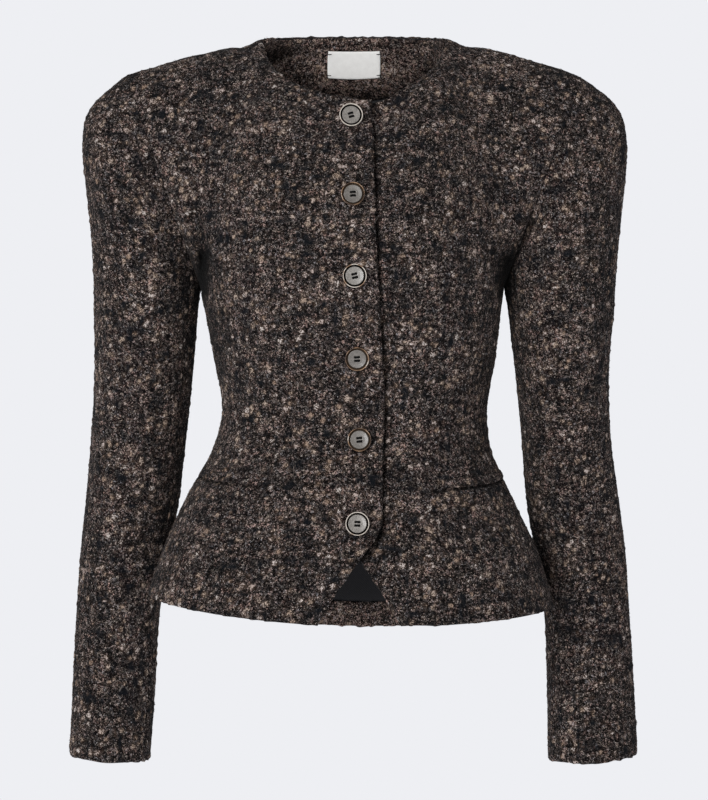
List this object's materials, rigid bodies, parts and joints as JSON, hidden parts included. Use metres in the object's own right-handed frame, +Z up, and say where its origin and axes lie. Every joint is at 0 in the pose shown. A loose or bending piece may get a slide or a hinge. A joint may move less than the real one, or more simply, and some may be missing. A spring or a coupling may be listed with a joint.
{
  "type": "boucle jacket",
  "caption": "Collarless fitted jacket in nubby boucle tweed with long sleeves, puffed sleeve heads, a flared peplum, a buttoned lapping front and hip pockets, filled out as if worn.",
  "frame": {"origin": "midway between the two neck points, where the wearer's shoulders carry the jacket", "axes": "+Z up along the jacket's length, the front faces -Y, the wearer's right is at -X"},
  "size_m": [0.5413, 0.2842, 0.6921],
  "materials": {
    "boucle": "nubby, matt",
    "lining": "smooth, slight sheen",
    "label": "woven, matt",
    "horn": "polished"
  },
  "bodies": {
    "root": {"front_right": "boucle", "front_left": "boucle", "back": "boucle", "sleeve_top_right": "boucle", "sleeve_under_right": "boucle", "sleeve_top_left": "boucle", "sleeve_under_left": "boucle", "back_neck_facing": "boucle", "back_hem_facing": "boucle", "pocket_welt_right": "boucle", "pocket_welt_left": "boucle", "back_lining": "lining", "label": "label", "button_1": "horn", "button_2": "horn", "button_3": "horn", "button_4": "horn", "button_5": "horn", "button_6": "horn"}
  },
  "joints": []
}
